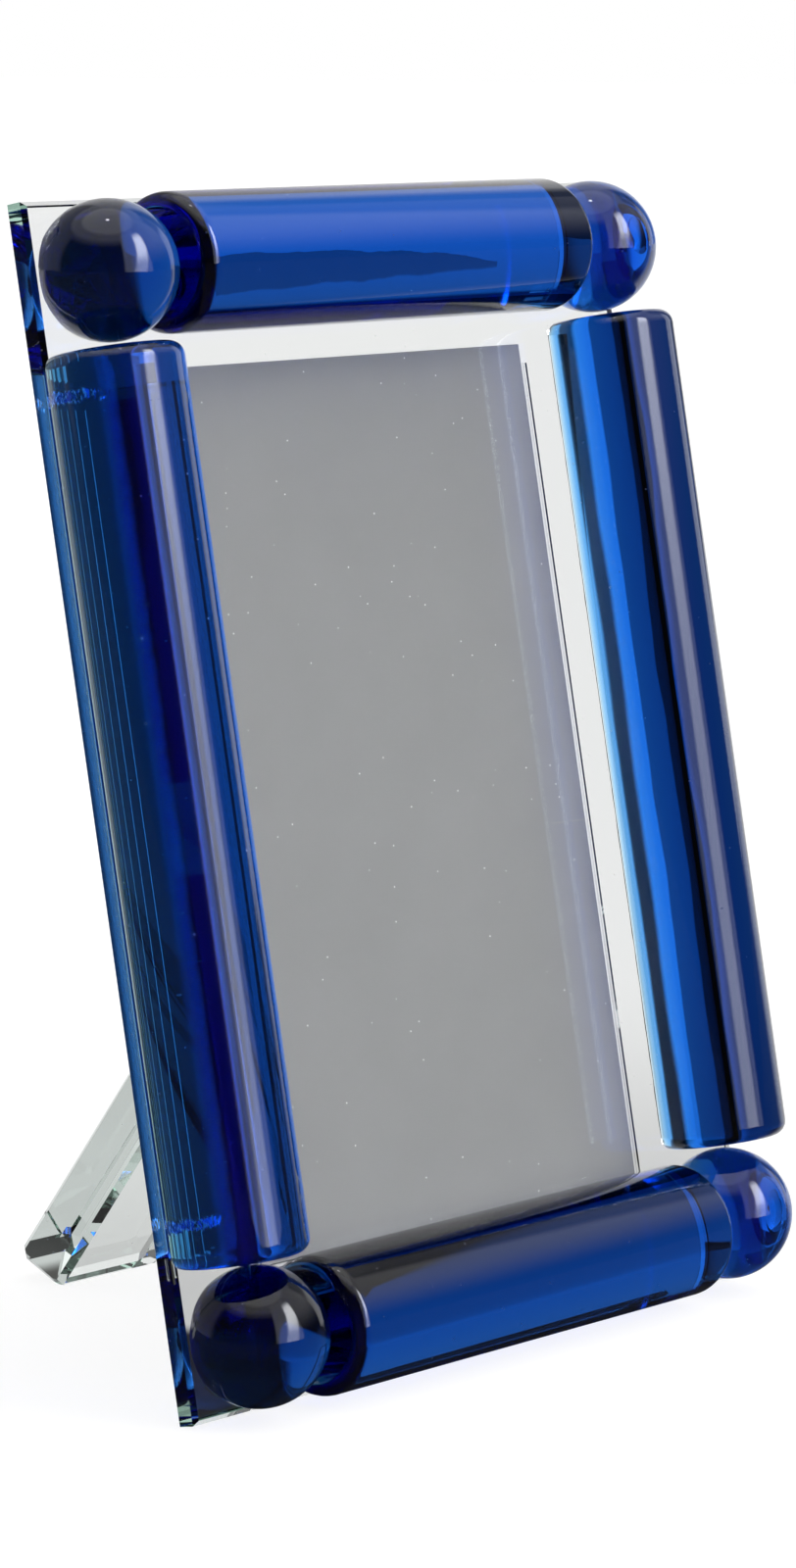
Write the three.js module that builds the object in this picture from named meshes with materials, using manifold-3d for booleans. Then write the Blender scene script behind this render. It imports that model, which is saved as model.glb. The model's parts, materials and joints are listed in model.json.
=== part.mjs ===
// Glass picture frame: a clear bevelled plate that leans back on a glass leg. Four cobalt glass rods and
// four cobalt glass balls are bonded to its face, and a grey card stands in the pocket behind it.
// Millimetres, +Z up. The face looks to -Y and the leg stands behind it, at +Y.

import * as THREE from 'three';
import { mergeVertices } from 'three/addons/utils/BufferGeometryUtils.js';
import Module from 'manifold-3d';

// Front plate
const plateWidth = 151.6;
const plateHeight = 204.2;
const plateThickness = 4.5;
const plateChamfer = 0.8;
const leanAngle = 10.6; // degrees back from upright

// Rods and balls, ground flat where they are bonded
const rodDiameter = 24;
const rodRimRadius = 2.6;
const ballDiameter = 24;
const bondFlatDepth = 6.5; // what is ground away of the rod's or ball's diameter
const bondGap = 0.3; // the clear line of adhesive between bonded pieces
const uprightRodInset = 10; // from the plate's side edge to the rod's axis
const crossRodInset = 12; // from the plate's top or bottom edge to the rod's axis
const ballSideInset = 11.7; // from the plate's side edge to the ball's centre
const ballEndInset = 12.8; // from the plate's top or bottom edge to the ball's centre
const uprightRodGap = 1; // between a ball and the end of an upright rod
const crossRodGap = 0.4; // between a ball and the end of a cross rod

// Photo pocket and the card in it
const cardWidth = 101.6;
const cardHeight = 152.4;
const cardThickness = 0.5;
const cardFootHeight = 22.9; // from the plate's bottom edge to the card's
const cardFrontGap = 0.3; // between the front plate and the card
const cardSideGap = 0.5; // between the card and the strips that guide its sides
const cardFootGap = 0.3; // between the card and the strip that it stands on
const cardGripHeight = 3.5; // what stands out above the pocket
const pocketOffset = -1.1; // from the plate's middle to the pocket's
const sideStripWidth = 1;
const footStripHeight = 7.5;
const stripThickness = 1.2;
const backThickness = 3;
const backChamfer = 0.6;

// Leg
const legWidth = 27;
const legThickness = 11.6;
const legAngle = 53; // degrees up from the floor
const legReach = 87; // on the floor, from the plate's rear bottom edge to the toe
const legChamfer = 1.2;
const soleLength = 2;
const heelAngle = 26; // degrees up from the floor
const heelClip = 3.8;

// Facets
const rodSegments = 48;
const rimSegments = 4;
const ballSegments = 36;
const ballRings = 20;

const radians = THREE.MathUtils.degToRad;
const lean = radians(leanAngle);
const rodRadius = rodDiameter / 2;
const ballRadius = ballDiameter / 2;
const ballX = plateWidth / 2 - ballSideInset;
const ballZ = plateHeight / 2 - ballEndInset;

const wasm = await Module();
wasm.setup();

const clearGlass = { color: 0xd8e4e0, roughness: 0.03, metalness: 0, transparent: true, opacity: 0.35 };
const cobaltGlass = { color: 0x062a9c, roughness: 0.04, metalness: 0, transparent: true, opacity: 0.9 };
const greyCard = { color: 0x8f8f93, roughness: 0.85, metalness: 0 };

function namedMesh(name, geometry, look) {
  const mesh = new THREE.Mesh(geometry, new THREE.MeshStandardMaterial(look));
  mesh.name = name;
  return mesh;
}

// A solid for cutting and joining, from a closed geometry
function toSolid(geometry) {
  const bare = geometry.clone();
  bare.deleteAttribute('normal');
  bare.deleteAttribute('uv');
  const merged = mergeVertices(bare, 1e-4);
  const index = merged.index.array;
  const triangles = [];
  for (let i = 0; i < index.length; i += 3) {
    const [a, b, c] = [index[i], index[i + 1], index[i + 2]];
    if (a !== b && b !== c && c !== a) triangles.push(a, b, c);
  }
  return new wasm.Manifold(
    new wasm.Mesh({
      numProp: 3,
      vertProperties: new Float32Array(merged.attributes.position.array),
      triVerts: new Uint32Array(triangles),
    }),
  );
}

function toGeometry(solid) {
  const mesh = solid.getMesh();
  const geometry = new THREE.BufferGeometry();
  geometry.setAttribute('position', new THREE.BufferAttribute(mesh.vertProperties, 3));
  geometry.setIndex(new THREE.BufferAttribute(mesh.triVerts, 1));
  const faceted = geometry.toNonIndexed();
  faceted.computeVertexNormals();
  return faceted;
}

// An outline with every edge of its two faces chamfered, `depth` thick over all and centred on its plane
function chamferedPrism(shape, depth, chamfer) {
  const geometry = new THREE.ExtrudeGeometry(shape, {
    depth: depth - 2 * chamfer,
    bevelThickness: chamfer,
    bevelSize: chamfer,
    bevelOffset: -chamfer,
    bevelSegments: 1,
  });
  geometry.translate(0, 0, chamfer - depth / 2);
  return geometry;
}

// A chamfered sheet that stands upright: width along X, thickness along Y, height along Z
function sheet(width, height, thickness, chamfer) {
  const outline = new THREE.Shape()
    .moveTo(-width / 2, -height / 2)
    .lineTo(width / 2, -height / 2)
    .lineTo(width / 2, height / 2)
    .lineTo(-width / 2, height / 2)
    .closePath();
  return chamferedPrism(outline, thickness, chamfer).rotateX(Math.PI / 2);
}

// What is bonded to the plate loses its back, below the flat that the adhesive holds
function groundFlat(geometry, radius, reach) {
  const waste = new THREE.BoxGeometry(reach, radius, reach);
  waste.translate(0, radius - bondFlatDepth + radius / 2, 0);
  return toGeometry(toSolid(geometry).subtract(toSolid(waste)));
}

// A rod along Z with rounded rims, its flat to +Y
function rodGeometry(length) {
  const half = length / 2;
  const rim = Math.min(rodRimRadius, 0.9 * rodRadius, 0.45 * length);
  const profile = [new THREE.Vector2(0, -half)];
  for (let i = 0; i <= rimSegments; i += 1) {
    const turn = (i / rimSegments) * (Math.PI / 2);
    profile.push(
      new THREE.Vector2(rodRadius - rim + rim * Math.sin(turn), -half + rim - rim * Math.cos(turn)),
    );
  }
  const upper = profile.map((point) => new THREE.Vector2(point.x, -point.y)).reverse();
  const turned = new THREE.LatheGeometry([...profile, ...upper], rodSegments).rotateX(Math.PI / 2);
  return groundFlat(turned, rodRadius, 2 * (length + rodDiameter));
}

function ballGeometry() {
  const sphere = new THREE.SphereGeometry(ballRadius, ballSegments, ballRings);
  return groundFlat(sphere, ballRadius, 4 * ballDiameter);
}

// The leaning group, in the front plate's own frame: its face is the plane Y = 0 and its bottom edge Z = 0
const leaning = new THREE.Group();
leaning.rotation.x = -lean;
leaning.position.z = (plateThickness - plateChamfer) * Math.sin(lean);

function addSheet(name, size, centre, chamfer, look) {
  const mesh = namedMesh(name, sheet(size.x, size.z, size.y, chamfer), look);
  mesh.position.copy(centre);
  leaning.add(mesh);
}

function addPlates() {
  addSheet(
    'front_plate',
    new THREE.Vector3(plateWidth, plateThickness, plateHeight),
    new THREE.Vector3(0, plateThickness / 2, plateHeight / 2),
    plateChamfer,
    clearGlass,
  );

  const stripY = plateThickness + bondGap + stripThickness / 2;
  const pocketFoot = cardFootHeight - cardFootGap - footStripHeight;
  const pocketTop = cardFootHeight + cardHeight - cardGripHeight;
  const pocketHeight = pocketTop - pocketFoot;
  const pocketWidth = cardWidth + 2 * cardSideGap;
  const backWidth = pocketWidth + 2 * sideStripWidth;
  const backY = plateThickness + bondGap + stripThickness + bondGap + backThickness / 2;
  addSheet(
    'back_plate',
    new THREE.Vector3(backWidth, backThickness, pocketHeight),
    new THREE.Vector3(pocketOffset, backY, pocketFoot + pocketHeight / 2),
    backChamfer,
    clearGlass,
  );
  for (const [name, side] of [['left_strip', -1], ['right_strip', 1]]) {
    addSheet(
      name,
      new THREE.Vector3(sideStripWidth, stripThickness, pocketHeight),
      new THREE.Vector3(
        pocketOffset + (side * (pocketWidth + sideStripWidth)) / 2,
        stripY,
        pocketFoot + pocketHeight / 2,
      ),
      stripThickness / 8,
      clearGlass,
    );
  }
  addSheet(
    'bottom_strip',
    new THREE.Vector3(pocketWidth - 2 * bondGap, stripThickness, footStripHeight),
    new THREE.Vector3(pocketOffset, stripY, pocketFoot + footStripHeight / 2),
    stripThickness / 8,
    clearGlass,
  );
  addSheet(
    'photo_card',
    new THREE.Vector3(cardWidth, cardThickness, cardHeight),
    new THREE.Vector3(
      pocketOffset,
      plateThickness + cardFrontGap + cardThickness / 2,
      cardFootHeight + cardHeight / 2,
    ),
    cardThickness / 8,
    greyCard,
  );
}

function addRods() {
  const standOff = -(rodRadius - bondFlatDepth + bondGap);
  const upright = rodGeometry(2 * (ballZ - ballRadius - uprightRodGap));
  for (const [name, side] of [['left_rod', -1], ['right_rod', 1]]) {
    const rod = namedMesh(name, upright, cobaltGlass);
    rod.position.set(side * (plateWidth / 2 - uprightRodInset), standOff, plateHeight / 2);
    leaning.add(rod);
  }
  const cross = rodGeometry(2 * (ballX - ballRadius - crossRodGap));
  for (const [name, side] of [['bottom_rod', -1], ['top_rod', 1]]) {
    const rod = namedMesh(name, cross, cobaltGlass);
    rod.rotation.y = Math.PI / 2;
    rod.position.set(0, standOff, plateHeight / 2 + side * (plateHeight / 2 - crossRodInset));
    leaning.add(rod);
  }
}

function addBalls() {
  const ball = ballGeometry();
  const standOff = -(ballRadius - bondFlatDepth + bondGap);
  for (const [row, up] of [['bottom', -1], ['top', 1]]) {
    for (const [column, side] of [['left', -1], ['right', 1]]) {
      const mesh = namedMesh(`${row}_${column}_ball`, ball, cobaltGlass);
      mesh.position.set(side * ballX, standOff, plateHeight / 2 + up * ballZ);
      leaning.add(mesh);
    }
  }
}

// Where the line from `a` along `u` meets the line from `b` along `v`
function meet(a, u, b, v) {
  const t = (b.clone().sub(a).cross(v)) / u.cross(v);
  return a.clone().addScaledVector(u, t);
}

// The leg's side outline, (Y, Z) on the floor: mitred to the back plate, cut flat at the sole and back at the heel
function legOutline() {
  const backFace = plateThickness + 2 * bondGap + stripThickness + backThickness;
  const mitreDepth = backFace + bondGap;
  const alongPlate = new THREE.Vector2(Math.sin(lean), Math.cos(lean));
  const onMitre = new THREE.Vector2(
    mitreDepth * Math.cos(lean),
    leaning.position.z - mitreDepth * Math.sin(lean),
  );
  const alongLeg = new THREE.Vector2(-Math.cos(radians(legAngle)), Math.sin(radians(legAngle)));
  const acrossLeg = new THREE.Vector2(alongLeg.y, -alongLeg.x);
  const toe = new THREE.Vector2(plateThickness * Math.cos(lean) + legReach, 0);
  const sole = toe.clone().add(new THREE.Vector2(soleLength, 0));
  const onRear = toe.clone().addScaledVector(acrossLeg, legThickness);
  const alongHeel = new THREE.Vector2(Math.cos(radians(heelAngle)), Math.sin(radians(heelAngle)));
  const heel = meet(sole, alongHeel, onRear, alongLeg);
  return new THREE.Shape([
    toe,
    sole,
    heel.clone().addScaledVector(alongHeel, -heelClip / 2),
    heel.clone().addScaledVector(alongLeg, heelClip / 2),
    meet(onRear, alongLeg, onMitre, alongPlate),
    meet(toe, alongLeg, onMitre, alongPlate),
  ]);
}

function legMesh() {
  const geometry = chamferedPrism(legOutline(), legWidth, legChamfer);
  geometry.applyMatrix4(
    new THREE.Matrix4().makeBasis(
      new THREE.Vector3(0, 1, 0),
      new THREE.Vector3(0, 0, 1),
      new THREE.Vector3(1, 0, 0),
    ),
  );
  return namedMesh('leg', geometry, clearGlass);
}

addPlates();
addRods();
addBalls();

const pictureFrame = new THREE.Group();
pictureFrame.add(leaning, legMesh());

// The origin is on the floor, under the middle of the whole frame
pictureFrame.updateMatrixWorld(true);
const middle = new THREE.Box3().setFromObject(pictureFrame, true).getCenter(new THREE.Vector3());
pictureFrame.position.y = -middle.y;

export default pictureFrame;
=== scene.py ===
"""Dresses the glass picture frame: cobalt rods and balls, clear plates, the print card and the leg.

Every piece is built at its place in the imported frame, in metres. The adhesive between bonded pieces has no
mesh: the glass finishes let light pass there without a surface, as it does in the real frame.
"""

import json
import logging
import math
from collections.abc import Callable
from dataclasses import dataclass, field
from enum import Enum
from typing import Any, NamedTuple

import bmesh
import bpy
from mathutils import Matrix, Vector


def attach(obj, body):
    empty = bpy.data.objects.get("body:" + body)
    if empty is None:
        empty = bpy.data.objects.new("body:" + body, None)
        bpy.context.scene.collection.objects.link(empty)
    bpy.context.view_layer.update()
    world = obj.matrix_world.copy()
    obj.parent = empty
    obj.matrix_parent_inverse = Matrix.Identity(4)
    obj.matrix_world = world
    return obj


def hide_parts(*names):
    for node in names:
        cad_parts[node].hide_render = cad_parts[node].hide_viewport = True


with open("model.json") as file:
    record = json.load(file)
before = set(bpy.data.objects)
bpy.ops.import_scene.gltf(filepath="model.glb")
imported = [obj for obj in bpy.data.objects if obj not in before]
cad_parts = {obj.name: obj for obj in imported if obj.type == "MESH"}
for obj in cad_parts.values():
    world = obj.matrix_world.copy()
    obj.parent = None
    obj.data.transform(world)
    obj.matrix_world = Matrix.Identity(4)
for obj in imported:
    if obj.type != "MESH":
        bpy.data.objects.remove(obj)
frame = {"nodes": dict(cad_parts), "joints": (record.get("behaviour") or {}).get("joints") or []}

LOG = logging.getLogger("picture_frame")
MM = 0.001
IN_DEGREES = 180 / math.pi
WHITE = (1, 1, 1, 1)
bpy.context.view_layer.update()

RODS = ("left_rod", "right_rod", "top_rod", "bottom_rod")
BALLS = ("top_left_ball", "top_right_ball", "bottom_left_ball", "bottom_right_ball")
STRIPS = ("left_strip", "right_strip", "bottom_strip")
CLEAR_PIECES = ("front_plate", "back_plate", *STRIPS, "leg")


class Axis(Enum):
    """Which way a rod runs over the plate."""

    UPRIGHT = "upright"
    CROSS = "cross"


class Slot(Enum):
    """The record's material slots."""

    CLEAR = "clear_glass"
    COBALT = "cobalt_glass"
    CARD = "grey_card"


class Ramp(NamedTuple):
    """Where a smooth step starts and where it ends."""

    start: float
    end: float


class Span(NamedTuple):
    """A stretch that reaches as far to both sides of its centre, and fades over its edge."""

    centre: float
    reach: float
    edge: float


class Wave(NamedTuple):
    """Noise around zero: the stretch of its coordinates, its scale, its detail and its height."""

    stretch: tuple[float, float, float]
    scale: float
    detail: float
    height: float


# Shader expressions


class Sock:
    """A socket or number that takes part in Python expressions, each of which adds its Math node."""

    def __init__(self, tree: "Tree", source: Any) -> None:
        """Keeps the node tree and the output socket or number."""
        self.tree = tree
        self.source = source

    def maths(self, operation: str, *others: Any) -> "Sock":
        """Adds one Math node.

        Args:
            operation: The Math node's operation.
            others: The values or sockets after this one.

        Returns:
            The node's result.
        """
        values = dict(enumerate((self, *others)))
        return self.tree.add("ShaderNodeMath", {"operation": operation}, values)

    def __add__(self, other: Any) -> "Sock":
        """Sum."""
        return self.maths("ADD", other)

    __radd__ = __add__

    def __sub__(self, other: Any) -> "Sock":
        """Difference."""
        return self.maths("SUBTRACT", other)

    def __rsub__(self, other: Any) -> "Sock":
        """Difference the other way round."""
        return Sock(self.tree, other).maths("SUBTRACT", self)

    def __mul__(self, other: Any) -> "Sock":
        """Product."""
        return self.maths("MULTIPLY", other)

    __rmul__ = __mul__

    def __truediv__(self, other: Any) -> "Sock":
        """Quotient."""
        return self.maths("DIVIDE", other)

    def __abs__(self) -> "Sock":
        """Distance from zero."""
        return self.maths("ABSOLUTE")

    def __lt__(self, other: Any) -> "Sock":
        """1 where this is less."""
        return self.maths("LESS_THAN", other)

    def __gt__(self, other: Any) -> "Sock":
        """1 where this is more."""
        return self.maths("GREATER_THAN", other)

    def most(self, other: Any) -> "Sock":
        """The higher of two."""
        return self.maths("MAXIMUM", other)

    def raised(self, power: float) -> "Sock":
        """This to a power."""
        return self.maths("POWER", power)

    def rising(self, start: float, end: float) -> "Sock":
        """A smooth step from 0 at start to 1 at end."""
        settings = {"interpolation_type": "SMOOTHSTEP"}
        return self.tree.add("ShaderNodeMapRange", settings, {"Value": self, 1: start, 2: end})

    def within(self, centre: float, reach: float, edge: float) -> "Sock":
        """1 inside centre plus or minus reach, with an edge that fades outwards."""
        return 1 - abs(self - centre).rising(reach, reach + edge)


class Tree:
    """A node tree with one method that adds any node."""

    def __init__(self, tree: bpy.types.NodeTree) -> None:
        """Empties the tree."""
        self.tree = tree
        tree.nodes.clear()

    def add(self, kind: str, settings: dict | None = None, values: dict | None = None, out: Any = 0) -> Sock:
        """Adds a node.

        Args:
            kind: The node's type.
            settings: Its properties, set first.
            values: Values or links by the sockets' names or numbers.
            out: The output that is wanted.

        Returns:
            That output.
        """
        node = self.tree.nodes.new(kind)
        for name, value in (settings or {}).items():
            setattr(node, name, value)
        for name, value in (values or {}).items():
            socket = node.inputs[name]
            source = value.source if isinstance(value, Sock) else value
            if isinstance(source, bpy.types.NodeSocket):
                self.tree.links.new(source, socket)
            else:
                socket.default_value = source
        return Sock(self, node.outputs[out] if len(node.outputs) else None)

    def position(self) -> Sock:
        """The point on the object, in its own coordinates."""
        return self.add("ShaderNodeTexCoord", out="Object")

    def along(self, vector: Sock, axis: Vector) -> Sock:
        """How far a point lies along an axis."""
        settings = {"operation": "DOT_PRODUCT"}
        return self.add("ShaderNodeVectorMath", settings, {0: vector, 1: tuple(axis)}, out="Value")

    def scaled(self, vector: Sock, scale: tuple[float, float, float]) -> Sock:
        """A point stretched along the axes."""
        return self.add("ShaderNodeVectorMath", {"operation": "MULTIPLY"}, {0: vector, 1: scale})

    def noise(self, vector: Sock, scale: float, detail: float) -> Sock:
        """Noise around 0.5 at a scale in waves per metre."""
        values = {"Vector": vector, "Scale": scale, "Detail": detail, "Roughness": 0.5}
        return self.add("ShaderNodeTexNoise", None, values, out="Fac")

    def wave(self, vector: Sock, wave: Wave) -> Sock:
        """Noise around zero."""
        return (self.noise(self.scaled(vector, wave.stretch), wave.scale, wave.detail) - 0.5) * wave.height

    def cells(self, vector: Sock, scale: float) -> Sock:
        """Distance from the nearest of scattered points, in cell widths."""
        return self.add("ShaderNodeTexVoronoi", None, {"Vector": vector, "Scale": scale}, out="Distance")

    def bump(self, height: Sock, strength: float, distance: float) -> Sock:
        """A normal that follows a height, whose full range is distance metres."""
        values = {"Strength": strength, "Distance": distance, "Height": height}
        return self.add("ShaderNodeBump", None, values)

    def mix_colour(self, factor: Any, first: Any, second: Any) -> Sock:
        """A blend of two colours."""
        return self.add("ShaderNodeMix", {"data_type": "RGBA"}, {0: factor, 6: first, 7: second}, out=2)

    def mix_shader(self, factor: Any, first: Sock, second: Sock) -> Sock:
        """A blend of two shaders."""
        return self.add("ShaderNodeMixShader", None, {0: factor, 1: first, 2: second})


def rgb(code: int) -> tuple[float, float, float, float]:
    """A screen colour as scene-linear values.

    Args:
        code: Red, green and blue as one number of six hexadecimal digits.

    Returns:
        The colour, opaque.
    """
    shares = [(code >> shift & 255) / 255 for shift in (16, 8, 0)]
    linear = [s / 12.92 if s <= 0.04045 else ((s + 0.055) / 1.055) ** 2.4 for s in shares]
    return (*linear, 1)


# The plate's own axes


@dataclass(frozen=True)
class Plate:
    """The leaning plate's axes: across to the right, deep into it from its face, up along it."""

    across: Vector
    deep: Vector
    up: Vector
    origin: Vector

    @classmethod
    def of_frame(cls) -> "Plate":
        """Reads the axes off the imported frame, where the card slides along the plate.

        Returns:
            The axes.
        """
        up = Vector(frame["joints"][0]["axis"]).normalized()
        across = Vector((1, 0, 0))
        deep = up.cross(across).normalized()
        points = [v.co for v in frame["nodes"]["front_plate"].data.vertices]
        face = min(p.dot(deep) for p in points)
        foot = min(p.dot(up) for p in points)
        return cls(across, deep, up, deep * face + up * foot)

    def matrix(self) -> Matrix:
        """Turns the plate's coordinates into the frame's."""
        turn = Matrix((self.across, self.deep, self.up)).transposed().to_4x4()
        return Matrix.Translation(self.origin) @ turn

    def points(self, node: str) -> list[Vector]:
        """A CAD node's vertices in the plate's coordinates."""
        back = self.matrix().inverted()
        return [back @ v.co for v in frame["nodes"][node].data.vertices]

    def box(self, node: str) -> tuple[Vector, Vector]:
        """A CAD node's lowest and highest corner in the plate's coordinates.

        Args:
            node: The node's name.

        Returns:
            The two corners.
        """
        points = self.points(node)
        low = Vector(min(p[i] for p in points) for i in range(3))
        high = Vector(max(p[i] for p in points) for i in range(3))
        return low, high

    def flat(self, node: str) -> tuple[Vector, Vector]:
        """The middle of a rod's or ball's ground flat, and half its size.

        A rod's flat is as long as the rod, and narrower than it. A ball's is narrower both ways.

        Args:
            node: The CAD node.

        Returns:
            The middle and the half size, in the plate's coordinates.
        """
        low, high = self.box(node)
        half = (high - low) / 2
        radius = min(half.x, half.z)
        depth = 2 * half.y - radius
        rim = radius - math.sqrt(radius * radius - depth * depth)
        x_rim, z_rim = (rim if side < radius + 1 * MM else 0 for side in (half.x, half.z))
        return (low + high) / 2, Vector((half.x - x_rim, 0, half.z - z_rim))


PLATE = Plate.of_frame()


@dataclass(frozen=True)
class Spot:
    """The shaded point, and its place in the plate's coordinates: x across, y deep and z up."""

    tree: Tree
    point: Sock
    x: Sock
    y: Sock
    z: Sock

    @classmethod
    def of_tree(cls, tree: Tree) -> "Spot":
        """Adds the nodes that find the point.

        Args:
            tree: The material's node tree.

        Returns:
            The spot.
        """
        point = tree.position()
        x = tree.along(point, PLATE.across)
        y = tree.along(point, PLATE.deep) - PLATE.origin.dot(PLATE.deep)
        z = tree.along(point, PLATE.up) - PLATE.origin.dot(PLATE.up)
        return cls(tree, point, x, y, z)

    def over(self, node: str) -> Sock:
        """1 where the spot lies in a CAD node's outline on the plate."""
        low, high = PLATE.box(node)
        return (self.x > low.x) * (self.x < high.x) * (self.z > low.z) * (self.z < high.z)

    def wave(self, wave: Wave) -> Sock:
        """Noise around zero at the spot."""
        return self.tree.wave(self.point, wave)


# Adhesive


@dataclass(frozen=True)
class Bonds:
    """Where light passes from one glass piece into the next through the adhesive.

    Lengths are in metres, wetted shares are of the light, and specks and bubbles are counted per metre.
    """

    reach: float = 0.45 * MM
    edge: float = 0.15 * MM
    rim: float = 0.25 * MM
    end: float = 1.2 * MM
    outline: Wave = Wave((1, 1, 1), 300, 2, 1.6 * MM)
    outline_at_ends: float = 0.3
    outline_at_sides: float = 0.2
    wetted: float = 0.95
    wetted_left_rod: float = 0.9
    wetted_right_balls: float = 0.7
    bead_height: float = 3.4 * MM
    bead_width: float = 0.8 * MM
    row_inset: float = 7.2 * MM
    row: Span = Span(0, 0.7 * MM, 0.5 * MM)
    row_teeth: Wave = Wave((1, 0.1, 0.1), 1100, 2, 5.2 * MM)
    row_teeth_share: float = 0.4
    row_end: float = 0.4
    specks_stretch: tuple[float, float, float] = (1, 0.3, 0.3)
    specks: float = 3000
    specks_thinning: float = 8
    mitre_gap: float = 0.6 * MM
    bubbles: float = 900
    bubble_size: float = 0.1

    def mask(self, tree: Tree) -> Sock:
        """1 on the bonded faces.

        Args:
            tree: The material's node tree.

        Returns:
            The mask.
        """
        spot = Spot.of_tree(tree)
        front = self._flats(spot) * self._face(spot, 0)
        return front.most(self._bead(spot)).most(self._pocket(spot)).most(self._mitre(spot))

    def dry(self, tree: Tree) -> Sock:
        """1 where the adhesive has not wetted a ground flat, which stays matt there.

        Args:
            tree: The material's node tree.

        Returns:
            The mask.
        """
        spot = Spot.of_tree(tree)
        return self._rows(spot) * self._face(spot, 0)

    def _face(self, spot: Spot, depth: float) -> Sock:
        """1 close to a face at a depth in the plate."""
        return spot.y.within(depth, self.reach, self.edge)

    def _flats(self, spot: Spot) -> Sock:
        """The adhesive under the rods and balls, short of their flats' rims.

        Args:
            spot: The shaded point.

        Returns:
            The share of each flat that is wetted.
        """
        wave = spot.wave(self.outline)
        found = None
        for node in RODS:
            middle, half = PLATE.flat(node)
            dx, dz = abs(spot.x - middle.x), abs(spot.z - middle.z)
            if half.z > half.x:
                along, over, long, short = dz, dx, half.z, half.x
            else:
                along, over, long, short = dx, dz, half.x, half.z
            here = along + wave * self.outline_at_ends < long - self.end
            here = here * (over + wave * self.outline_at_sides < short - self.rim)
            if node == "left_rod":
                here = here * self.wetted_left_rod
            found = here if found is None else found.most(here)
        for node in BALLS:
            middle, half = PLATE.flat(node)
            dx, dz = spot.x - middle.x, spot.z - middle.z
            here = (dx * dx + dz * dz).raised(0.5) + wave * self.outline_at_ends < half.x - self.rim
            found = found.most(here * (self.wetted_right_balls if "right" in node else self.wetted))
        return found * (1 - self._rows(spot))

    def _bead(self, spot: Spot) -> Sock:
        """The adhesive that has run out along the right rod's outer edge, past the plate.

        Args:
            spot: The shaded point.

        Returns:
            1 in it.
        """
        middle, half = PLATE.flat("right_rod")
        beyond = spot.x > middle.x + half.x - self.bead_width
        beyond = beyond * (abs(spot.z - middle.z) < half.z - self.end)
        return beyond * (spot.y > -self.bead_height) * (spot.y < 0)

    def _rows(self, spot: Spot) -> Sock:
        """The dry specks near the left rod's ends, in two ragged rows that thin out to the right.

        Args:
            spot: The shaded point.

        Returns:
            1 on the specks.
        """
        middle, half = PLATE.flat("left_rod")
        teeth = spot.wave(self.row_teeth) * self.row_teeth_share
        place = abs(spot.z - middle.z) - (half.z - self.row_inset) + teeth
        across = spot.x - middle.x
        here = (across > -half.x) * (across < half.x * self.row_end)
        specks = spot.tree.noise(spot.tree.scaled(spot.point, self.specks_stretch), self.specks, 1)
        return place.within(*self.row) * here * (specks - across * self.specks_thinning > 0.5)

    def _pocket(self, spot: Spot) -> Sock:
        """The strips that hold the back plate off the front plate, bonded on both their faces.

        Args:
            spot: The shaded point.

        Returns:
            1 on those faces.
        """
        found = None
        for node in STRIPS:
            here = spot.over(node)
            found = here if found is None else found.most(here)
        low, high = PLATE.box("right_strip")
        return self._face(spot, low.y).most(self._face(spot, high.y)) * found

    def _mitre(self, spot: Spot) -> Sock:
        """The leg's mitre on the back plate, with fine bubbles left in its adhesive.

        Args:
            spot: The shaded point.

        Returns:
            1 on the mitre, between its bubbles.
        """
        back = PLATE.box("back_plate")[1].y
        touching = [p for p in PLATE.points("leg") if p.y < back + self.mitre_gap]
        low, high = min(p.z for p in touching), max(p.z for p in touching)
        side = max(p.x for p in touching)
        inside = (abs(spot.x) < side) * (spot.z > low) * (spot.z < high)
        filled = spot.tree.cells(spot.point, self.bubbles) > self.bubble_size
        return self._face(spot, back) * inside * filled


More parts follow.
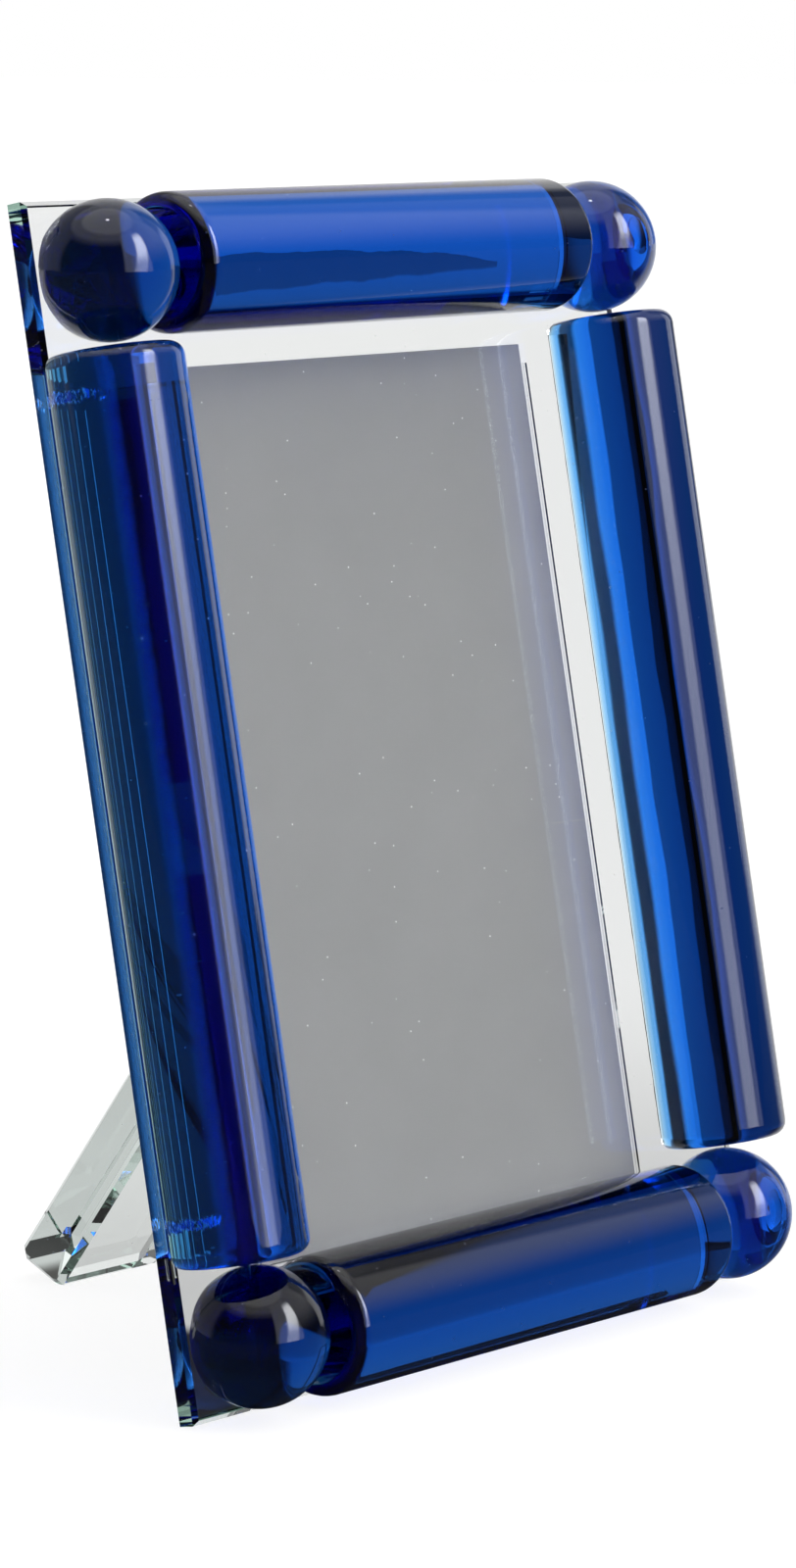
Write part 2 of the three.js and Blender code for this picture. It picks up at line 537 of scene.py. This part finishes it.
# Painted shade on the bonded faces
@dataclass(frozen=True)
class PaintedBondShade:
    """Painted shade on the bonded faces under the cobalt pieces, as streaks, lines and patches that darken
    the glass: the share of the light that it takes, 0 is none, 1 is nearly all.
    """

    left_balls: float = 0.6
    right_balls: float = 0.4
    left: float = 0.04
    left_border: Ramp = Ramp(8.6 * MM, 9.6 * MM)
    left_border_share: float = 0.66
    right_wander: Wave = Wave((1, 0.2, 0.2), 150, 2, 1.6 * MM)
    streak: Span = Span(-0.4 * MM, 1.1 * MM, 1.2 * MM)
    streak_share: float = 0.95
    streak_fall: float = -1.2
    dark_side: Ramp = Ramp(4.0 * MM, 4.3 * MM)
    dark_side_share: float = 0.68
    border: Ramp = Ramp(9.2 * MM, 9.8 * MM)
    border_share: float = 0.18
    line: Span = Span(8.2 * MM, 0.8 * MM, 0.4 * MM)
    darkest: float = 0.97
    top: float = 0.28
    top_foot: Ramp = Ramp(2.5 * MM, -2.0 * MM)
    top_foot_share: float = 0.26
    dark_patch_share: float = 0.74
    dark_patch_left: float = 12 * MM
    dark_patch_right: float = 18.5 * MM
    dark_patch_wander: Wave = Wave((0.5, 1, 1), 220, 3, 0.5 * MM)
    dark_patch_height: float = 0.95 * MM
    dark_patch_taper: float = 3
    dark_patch_rise: float = 0.9 * MM
    dark_patch_foot: Ramp = Ramp(-1.45 * MM, -1.05 * MM)
    bottom: float = 0.56
    bottom_crown: Ramp = Ramp(-1.6 * MM, 0.8 * MM)
    bottom_crown_share: float = 0.26

    def share(self, tree: Tree) -> Sock:
        """The share of the light that the painted shade takes.

        Args:
            tree: The material's node tree.

        Returns:
            The share.
        """
        spot = Spot.of_tree(tree)
        bond_shades = (self._left(spot), self._right(spot), self._top(spot), self._bottom(spot))
        bond_shade = (spot.x > 0) * (self.right_balls - self.left_balls) + self.left_balls
        for node, share in zip(RODS, bond_shades):
            here = spot.over(node)
            bond_shade = bond_shade * (1 - here) + here * share
        return bond_shade

    def _left(self, spot: Spot) -> Sock:
        """Under the left rod: light painted shade, and darker painted shade along the flat's right edge."""
        middle, _ = PLATE.flat("left_rod")
        return (spot.x - middle.x).rising(*self.left_border) * self.left_border_share + self.left

    def _right(self, spot: Spot) -> Sock:
        """Under the right rod, painted shade: a dark streak, a dark line, and darker to the right of a wavy
        line.

        Args:
            spot: The shaded point.

        Returns:
            The share.
        """
        middle, _ = PLATE.flat("right_rod")
        place = spot.x - middle.x + spot.wave(self.right_wander)
        streak = place.within(*self.streak) * ((spot.z - middle.z) * self.streak_fall + self.streak_share)
        dark_side = place.rising(*self.dark_side) * self.dark_side_share + place.rising(*self.border) * self.border_share
        line = place.within(*self.line)
        return (streak * self.darkest).most(dark_side).most(line * self.darkest)

    def _top(self, spot: Spot) -> Sock:
        """Under the top rod, painted shade: darker towards its foot and in a long dark patch.

        Args:
            spot: The shaded point.

        Returns:
            The share.
        """
        middle, _ = PLATE.flat("top_rod")
        foot = (spot.z - middle.z).rising(*self.top_foot)
        return (foot * self.top_foot_share + self.top).most(self._dark_patch(spot) * self.dark_patch_share)

    def _dark_patch(self, spot: Spot) -> Sock:
        """A long dark patch of painted shade under the top rod, which tapers to the right.

        Args:
            spot: The shaded point.

        Returns:
            1 in the patch.
        """
        middle, half = PLATE.flat("top_rod")
        start = middle.x - half.x + self.dark_patch_left
        end = middle.x + half.x - self.dark_patch_right
        share = (spot.x - start) / (end - start)
        place = spot.z - middle.z + spot.wave(self.dark_patch_wander)
        upper = place < self.dark_patch_height - share.raised(self.dark_patch_taper) * self.dark_patch_height
        lower = (place - share * self.dark_patch_rise).rising(*self.dark_patch_foot)
        return upper * lower * (share > 0) * (share < 1)

    def _bottom(self, spot: Spot) -> Sock:
        """Under the bottom rod, painted shade: darker towards its top."""
        middle, _ = PLATE.flat("bottom_rod")
        return (spot.z - middle.z).rising(*self.bottom_crown) * self.bottom_crown_share + self.bottom


# Finishes


@dataclass(frozen=True)
class Glass:
    """Solid glass, whose tint is taken up along the path of the light, in shares per metre.

    Where painted shade is given, it takes its share of the light that passes a bonded face.
    """

    name: str
    absorbed: tuple[float, float, float]
    bond_shade: PaintedBondShade | None = None
    bonds: Bonds = field(default_factory=Bonds)
    ripple: float = 0.006
    ripple_scale: float = 90
    ripple_depth: float = 1 * MM
    ior: float = 1.5
    specks: float = 260
    speck_edge: Ramp = Ramp(0.03, 0.045)
    speck_roughness: float = 0.5
    smudges: float = 60
    smudge_edge: Ramp = Ramp(0.5, 0.8)
    smudge_roughness: float = 0.012
    dry_roughness: float = 0.45
    # the colour of the painted shade on the bonded faces
    bond_shade_colour: tuple[float, float, float, float] = (0.04, 0.04, 0.04, 1)
    tint_margin: float = 1.02

    def material(self) -> bpy.types.Material:
        """The finish as a material.

        Returns:
            The material.
        """
        made = bpy.data.materials.new(self.name)
        made.use_nodes = True
        tree = Tree(made.node_tree)
        surface = tree.mix_shader(self.bonds.mask(tree), self._glass(tree), self._passage(tree))
        density = max(self.absorbed) * self.tint_margin
        colour = (*(1 - a / density for a in self.absorbed), 1)
        volume = tree.add("ShaderNodeVolumeAbsorption", None, {"Color": colour, "Density": density})
        tree.add("ShaderNodeOutputMaterial", None, {"Surface": surface, "Volume": volume})
        return made

    def _glass(self, tree: Tree) -> Sock:
        """The polished surface, with its specks, smudges and slight ripple.

        Args:
            tree: The material's node tree.

        Returns:
            The shader.
        """
        point = tree.position()
        specks = 1 - tree.cells(point, self.specks).rising(*self.speck_edge)
        smudges = tree.noise(point, self.smudges, 3).rising(*self.smudge_edge)
        rough = specks * self.speck_roughness + smudges * self.smudge_roughness
        rough = rough + self.bonds.dry(tree) * self.dry_roughness
        ripple = tree.bump(tree.noise(point, self.ripple_scale, 1), self.ripple, self.ripple_depth)
        values = {
            "Base Color": WHITE,
            "Roughness": rough,
            "IOR": self.ior,
            "Transmission Weight": 1.0,
            "Normal": ripple,
        }
        return tree.add("ShaderNodeBsdfPrincipled", None, values)

    def _passage(self, tree: Tree) -> Sock:
        """The bonded face, which light passes straight, with the painted shade taking its share where it is
        given.

        Args:
            tree: The material's node tree.

        Returns:
            The shader.
        """
        clear = tree.add("ShaderNodeBsdfTransparent", None, {"Color": WHITE})
        if self.bond_shade is None:
            return clear
        # painted shade: a dark see-through layer, mixed in by its share
        dark = tree.add("ShaderNodeBsdfTransparent", None, {"Color": self.bond_shade_colour})
        return tree.mix_shader(self.bond_shade.share(tree), clear, dark)


@dataclass(frozen=True)
class GreyCard:
    """Uncoated grey print card."""

    name: str = "grey_card"
    grain: float = 5000
    clouds: float = 60
    dark: int = 0x9C9A9A
    light: int = 0xACAAAA
    roughness: float = 0.75
    bump: float = 0.08
    bump_depth: float = 0.05 * MM

    def material(self) -> bpy.types.Material:
        """The finish as a material.

        Returns:
            The material.
        """
        made = bpy.data.materials.new(self.name)
        made.use_nodes = True
        tree = Tree(made.node_tree)
        point = tree.position()
        grain = tree.noise(point, self.grain, 2)
        clouds = tree.noise(point, self.clouds, 3)
        shade = tree.mix_colour(grain * 0.5 + clouds * 0.5, rgb(self.dark), rgb(self.light))
        bump = tree.bump(grain, self.bump, self.bump_depth)
        values = {"Base Color": shade, "Roughness": self.roughness, "Normal": bump}
        paper = tree.add("ShaderNodeBsdfPrincipled", None, values)
        tree.add("ShaderNodeOutputMaterial", None, {"Surface": paper})
        return made


# Mesh work


class Workshop:
    """Edit-mode helpers."""

    @staticmethod
    def only(piece: bpy.types.Object) -> None:
        """Selects one object alone and makes it active.

        Args:
            piece: The object.
        """
        bpy.ops.object.select_all(action="DESELECT")
        piece.select_set(True)
        bpy.context.view_layer.objects.active = piece

    @staticmethod
    def open_edges(piece: bpy.types.Object, chosen: Callable[[bmesh.types.BMEdge], bool]) -> None:
        """Enters edit mode with some edges selected.

        Args:
            piece: The object.
            chosen: The test that chooses the edges.
        """
        Workshop.only(piece)
        bpy.ops.object.mode_set(mode="EDIT")
        bpy.ops.mesh.select_mode(type="EDGE")
        bpy.ops.mesh.select_all(action="DESELECT")
        shape = bmesh.from_edit_mesh(piece.data)
        for edge in filter(chosen, shape.edges):
            edge.select_set(True)
        bmesh.update_edit_mesh(piece.data)

    @staticmethod
    def cut_flat(piece: bpy.types.Object, depth: float) -> None:
        """Grinds away what lies deeper than depth, and closes the cut.

        Args:
            piece: The object, at the origin.
            depth: How far the flat lies from the origin, towards the plate.
        """
        Workshop.only(piece)
        bpy.ops.object.mode_set(mode="EDIT")
        bpy.ops.mesh.select_all(action="SELECT")
        bpy.ops.mesh.bisect(plane_co=(0, depth, 0), plane_no=(0, 1, 0), use_fill=True, clear_outer=True)
        bpy.ops.mesh.select_all(action="SELECT")
        bpy.ops.mesh.normals_make_consistent(inside=False)
        bpy.ops.object.mode_set(mode="OBJECT")

    @staticmethod
    def place(piece: bpy.types.Object, matrix: Matrix) -> None:
        """Puts a piece at its place, in its mesh.

        Args:
            piece: The object, at the origin.
            matrix: Its place in the frame.
        """
        Workshop.only(piece)
        piece.matrix_world = matrix
        bpy.ops.object.transform_apply(location=True, rotation=True, scale=True)


@dataclass
class CobaltParts:
    """The four rods and four balls of solid cobalt glass, ground flat where they are bonded."""

    finish: bpy.types.Material
    rod_sides: int = 160
    rim_radius: float = 2.6 * MM
    rim_steps: int = 8
    ball_steps: int = 6
    smooth_angle: float = math.radians(40)
    made: list[bpy.types.Object] = field(default_factory=list)

    def build(self) -> list[bpy.types.Object]:
        """Builds all eight pieces.

        Returns:
            The pieces.
        """
        for side in ("left", "right"):
            self.made.append(self._rod(f"{side}_rod", Axis.UPRIGHT))
        for level in ("top", "bottom"):
            self.made.append(self._rod(f"{level}_rod", Axis.CROSS))
            for side in ("left", "right"):
                self.made.append(self._ball(f"{level}_{side}_ball"))
        return self.made

    def _rod(self, node: str, axis: Axis) -> bpy.types.Object:
        """One rod, from a cylinder with rounded rims.

        Args:
            node: The CAD node that it replaces.
            axis: Which way it runs.

        Returns:
            The rod.
        """
        low, high = PLATE.box(node)
        size = high - low
        length, width = (size.z, size.x) if axis is Axis.UPRIGHT else (size.x, size.z)
        radius = width / 2
        bpy.ops.object.select_all(action="DESELECT")
        bpy.ops.mesh.primitive_cylinder_add(vertices=self.rod_sides, radius=radius, depth=length)
        rod = bpy.context.active_object
        rod.name = f"{node}_glass"
        Workshop.open_edges(rod, lambda edge: abs(edge.verts[0].co.z - edge.verts[1].co.z) < length / 2)
        bpy.ops.mesh.bevel(offset=self.rim_radius, segments=self.rim_steps, profile=0.5, affect="EDGES")
        bpy.ops.object.mode_set(mode="OBJECT")
        Workshop.cut_flat(rod, size.y - radius)
        turn = Matrix() if axis is Axis.UPRIGHT else Matrix.Rotation(math.pi / 2, 4, "Y")
        return self._finish(rod, node, radius, turn)

    def _ball(self, node: str) -> bpy.types.Object:
        """One ball.

        Args:
            node: The CAD node that it replaces.

        Returns:
            The ball.
        """
        low, high = PLATE.box(node)
        radius = (high.x - low.x) / 2
        bpy.ops.object.select_all(action="DESELECT")
        bpy.ops.mesh.primitive_ico_sphere_add(subdivisions=self.ball_steps, radius=radius)
        ball = bpy.context.active_object
        ball.name = f"{node}_glass"
        Workshop.cut_flat(ball, (high.y - low.y) - radius)
        return self._finish(ball, node, radius, Matrix())

    def _finish(self, piece: bpy.types.Object, node: str, radius: float, turn: Matrix) -> bpy.types.Object:
        """Smooths, places and dresses a piece.

        Args:
            piece: The piece at the origin.
            node: The CAD node that it replaces.
            radius: The glass's radius.
            turn: Turns the piece to its direction.

        Returns:
            The piece.
        """
        Workshop.only(piece)
        bpy.ops.object.shade_smooth_by_angle(angle=self.smooth_angle)
        low, high = PLATE.box(node)
        centre = Vector(((low.x + high.x) / 2, low.y + radius, (low.z + high.z) / 2))
        Workshop.place(piece, PLATE.matrix() @ Matrix.Translation(centre) @ turn)
        piece.data.materials.clear()
        piece.data.materials.append(self.finish)
        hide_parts(node)
        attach(piece, "frame")
        return piece


# Studio


@dataclass(frozen=True)
class Panels:
    """The soft light around the frame, in degrees: right of the camera's heading, and above the horizon."""

    wall: Span = Span(2, 14, 8)
    wall_light: float = 0.6
    wall_base: float = 0.32
    gap: Span = Span(30, 3, 4)
    gap_share: float = 0.6
    side: Span = Span(77, 18, 10)
    side_rise: Ramp = Ramp(6, 38)
    side_light: float = 0.85
    side_base: float = 0.03
    unlit: tuple[Span, Span] = (Span(204, 50, 12), Span(-156, 50, 12))
    unlit_end: Ramp = Ramp(38, 46)
    unlit_light: float = 0.03
    lamp: Span = Span(46, 8, 4)
    lamp_level: Span = Span(5, 18, 12)
    lamp_light: float = 1.1
    window: Span = Span(125, 22, 5)
    window_level: Span = Span(28, 30, 6)
    window_light: float = 1.1
    window_colour: tuple[float, float, float, float] = (0.95, 0.97, 1, 1)
    core: Span = Span(122, 7, 7)
    core_slant: float = 0.3
    core_level: Span = Span(18, 26, 12)
    core_rise: Ramp = Ramp(8, 30)
    core_light: float = 3
    core_rise_light: float = 8
    ceiling: Ramp = Ramp(41, 52)
    ceiling_light: float = 0.75
    skylight: Ramp = Ramp(58, 64)
    skylight_light: float = 0.7
    bulb: Ramp = Ramp(87.5, 88.5)
    bulb_light: float = 20
    fill: float = 0.35
    side_fill: float = 3.5

    def light(self, tree: Tree, azimuth: Sock, level: Sock) -> tuple[Sock, Sock]:
        """The light that comes from a direction.

        Args:
            tree: The world's node tree.
            azimuth: Degrees to the right of the camera's heading.
            level: Degrees above the horizon.

        Returns:
            The light's strength and its colour.
        """
        side = azimuth.within(*self.side)
        left, right = self.unlit
        unlit = azimuth.within(*left).most(azimuth.within(*right)) * (1 - level.rising(*self.unlit_end))
        wall = azimuth.within(*self.wall) * self.wall_light + self.wall_base
        wall = wall * (1 - azimuth.within(*self.gap) * self.gap_share)
        light = wall * (1 - side) * (1 - unlit) + unlit * self.unlit_light
        light = light + side * (level.rising(*self.side_rise) * self.side_light + self.side_base)
        lamp = azimuth.within(*self.lamp) * level.within(*self.lamp_level)
        window = azimuth.within(*self.window) * level.within(*self.window_level)
        core = (azimuth + level * self.core_slant).within(*self.core) * level.within(*self.core_level)
        core = core * (level.rising(*self.core_rise) * self.core_rise_light + self.core_light)
        light = light.most(lamp * self.lamp_light).most(window * self.window_light + core)
        above = level.rising(*self.ceiling) * self.ceiling_light
        above = above + level.rising(*self.skylight) * self.skylight_light
        light = light.most(above).most(level.rising(*self.bulb) * self.bulb_light)
        diffused = tree.add("ShaderNodeLightPath", out="Diffuse Depth") > 0.5
        light = light * (diffused * (side * self.side_fill + self.fill) + 1)
        return light, tree.mix_colour(window, WHITE, self.window_colour)


@dataclass(frozen=True)
class Studio:
    """The floor, the soft panels around it and the camera."""

    camera_place: Vector = Vector((-0.74332, -0.65758, 0.23135))
    camera_azimuth: float = math.radians(49.42)
    camera_pitch: float = math.radians(-7.33)
    lens: float = 129.15
    sensor: float = 36.0
    side_shift: float = 0.0029
    drop: float = -0.02695
    far_clip: float = 100
    floor_size: float = 30.0
    floor_middle: tuple[float, float] = (0.03, -0.01)
    floor_dark: int = 0x3A3836
    floor_pale: int = 0xF0EEEC
    floor_white: float = 1.06
    floor_white_share: float = 0.8
    floor_lit: Span = Span(-6, 50, 14)
    # the floor's glow close to the frame: a painted shadow of the frame
    floor_glow_in_painted_shadow: float = 0.6
    floor_rise: Ramp = Ramp(0.05, 0.4)
    floor_rise_share: float = 0.33
    panels: Panels = field(default_factory=Panels)

    def build(self) -> None:
        """Makes the floor, the light and the camera."""
        self._floor()
        self._world()
        self._camera()
        self._light_paths()

    def _camera(self) -> None:
        """The long lens at the photograph's angle."""
        data = bpy.data.cameras.new("camera")
        camera = bpy.data.objects.new("camera", data)
        bpy.context.scene.collection.objects.link(camera)
        data.sensor_width = self.sensor
        data.lens = self.lens
        data.shift_x = self.side_shift
        data.shift_y = self.drop
        data.clip_end = self.far_clip
        camera.location = self.camera_place
        camera.rotation_euler = (math.pi / 2 + self.camera_pitch, 0, -self.camera_azimuth)
        bpy.context.scene.camera = camera

    def _bearing(self, tree: Tree, vector: Sock, middle: tuple[float, float]) -> tuple[Sock, Sock, Sock]:
        """Where a vector points, seen from a middle, about the camera's heading.

        Args:
            tree: The node tree.
            vector: The vector.
            middle: What is added to the distances ahead and to the right.

        Returns:
            The distance ahead, the distance to the right and the azimuth in degrees.
        """
        heading = self.camera_azimuth
        ahead = tree.along(vector, Vector((math.sin(heading), math.cos(heading), 0))) + middle[0]
        right = tree.along(vector, Vector((math.cos(heading), -math.sin(heading), 0))) + middle[1]
        return ahead, right, right.maths("ARCTAN2", ahead) * IN_DEGREES

    def _floor(self) -> None:
        """A plain pale floor to the camera. To the glass it is dark at the sides and in front, and glows
        behind the frame as painted light of a lit table, dimmer close to the frame as a painted shadow of
        the frame.
        """
        bpy.ops.object.select_all(action="DESELECT")
        bpy.ops.mesh.primitive_plane_add(size=self.floor_size)
        floor = bpy.context.active_object
        floor.name = "floor"
        made = bpy.data.materials.new("floor")
        made.use_nodes = True
        tree = Tree(made.node_tree)
        ahead, right, azimuth = self._bearing(tree, tree.position(), self.floor_middle)
        far = (ahead * ahead + right * right).raised(0.5)
        # painted shadow: the glow is dimmer close to the frame, where the frame shades the table
        behind = far.rising(*self.floor_rise) * self.floor_rise_share + self.floor_glow_in_painted_shadow
        behind = azimuth.within(*self.floor_lit) * behind
        plain = tree.add("ShaderNodeBsdfDiffuse", None, {"Color": rgb(self.floor_dark)})
        pale = tree.add("ShaderNodeBsdfDiffuse", None, {"Color": rgb(self.floor_pale)})
        white = tree.add("ShaderNodeEmission", None, {"Color": WHITE, "Strength": self.floor_white})
        # painted light: the floor glows to the glass behind the frame, standing for a lit table
        painted_table_glow = tree.add("ShaderNodeEmission", None, {"Color": WHITE, "Strength": 1.0})
        seen = tree.mix_shader(self.floor_white_share, pale, white)
        direct = tree.add("ShaderNodeLightPath", out="Is Camera Ray")
        surface = tree.mix_shader(direct, tree.mix_shader(behind, plain, painted_table_glow), seen)
        tree.add("ShaderNodeOutputMaterial", None, {"Surface": surface})
        floor.data.materials.append(made)

    def _world(self) -> None:
        """Soft light panels by direction, white where the camera looks past everything."""
        world = bpy.data.worlds.new("studio")
        bpy.context.scene.world = world
        world.use_nodes = True
        tree = Tree(world.node_tree)
        direction = tree.add("ShaderNodeTexCoord", out="Generated")
        azimuth = self._bearing(tree, direction, (0, 0))[2]
        level = tree.along(direction, Vector((0, 0, 1))).maths("ARCSINE") * IN_DEGREES
        light, colour = self.panels.light(tree, azimuth, level)
        camera = tree.add("ShaderNodeLightPath", out="Is Camera Ray")
        values = {
            "Color": tree.mix_colour(camera, colour, WHITE),
            "Strength": light * (1 - camera) + camera,
        }
        back = tree.add("ShaderNodeBackground", None, values)
        tree.add("ShaderNodeOutputWorld", None, {"Surface": back})

    def _light_paths(self) -> None:
        """Enough bounces for light to find its way out of the glass."""
        scene = bpy.context.scene
        scene.cycles.max_bounces = 32
        scene.cycles.transmission_bounces = 32
        scene.cycles.glossy_bounces = 16
        scene.cycles.diffuse_bounces = 3
        scene.cycles.transparent_max_bounces = 32
        scene.view_settings.view_transform = "Standard"


def dress(node: str, finish: bpy.types.Material, slot: Slot) -> None:
    """Gives a CAD node its finish.

    Args:
        node: The node's name.
        finish: Its material.
        slot: The record's slot.
    """
    piece = frame["nodes"][node]
    piece.data.materials.clear()
    piece.data.materials.append(finish)
    LOG.info("%s: its own mesh, %s", node, slot.value)


def main() -> None:
    """Builds, dresses and reports every piece."""
    logging.basicConfig(level=logging.INFO, format="%(name)s: %(message)s")
    clear = Glass("clear_glass", (4.0, 1.5, 2.5), ripple=0.002).material()
    # the cobalt glass carries painted shade on its bonded faces
    cobalt = Glass("cobalt_glass", (235.0, 96.0, 8.0), bond_shade=PaintedBondShade()).material()
    for node in CLEAR_PIECES:
        dress(node, clear, Slot.CLEAR)
    dress("photo_card", GreyCard().material(), Slot.CARD)
    for piece in CobaltParts(cobalt).build():
        LOG.info("%s: %d faces", piece.name, len(piece.data.polygons))
    Studio().build()


if __name__ == "__main__":
    main()
